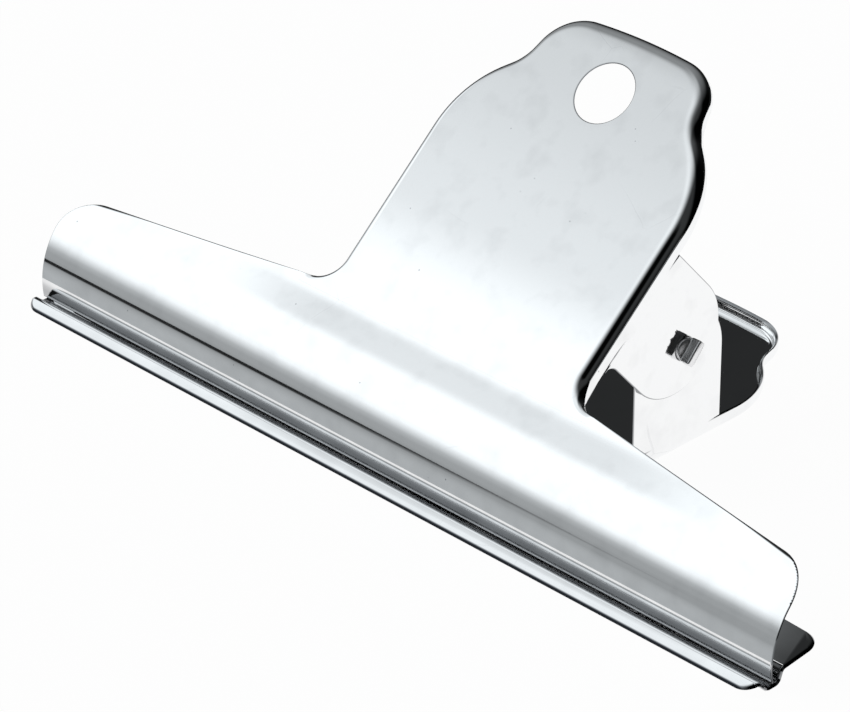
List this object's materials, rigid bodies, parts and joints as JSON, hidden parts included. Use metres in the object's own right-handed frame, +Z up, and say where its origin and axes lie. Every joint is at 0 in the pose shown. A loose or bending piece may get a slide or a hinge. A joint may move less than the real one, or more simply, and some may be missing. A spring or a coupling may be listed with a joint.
{
  "type": "bulldog clip",
  "caption": "Wide sprung paper clip: two stamped steel plates that turn on a pin, one with a long curved jaw and one with a grooved lip, each with a handle that has a hanging hole.",
  "frame": {"origin": "on the table, under the middle of the clip's length and width, with the back plate lying on the table", "axes": "+X along the jaws and the pin, +Y from the jaws to the handles, +Z up, away from the table"},
  "size_m": [0.145, 0.0738, 0.0509],
  "materials": {
    "plated_sheet": "bright nickel plating on stamped steel sheet, with fine hairlines",
    "pin_steel": "bright plated steel rod",
    "spring_wire": "drawn spring wire, satin"
  },
  "bodies": {
    "back_half": {"back_plate": "plated_sheet", "pivot_pin": "pin_steel", "torsion_spring": "spring_wire"},
    "front_half": {"front_plate": "plated_sheet"}
  },
  "joints": [
    {"name": "jaw_hinge", "type": "hinge", "parent": "back_half", "child": "front_half", "pos_m": [0, 0.00231, 0.0172], "axis": [-1, 0, 0], "range_deg": [0, 80], "stiffness_Nm_per_rad": 0.53, "springref_deg": -40.11, "deforming": ["torsion_spring"]}
  ]
}
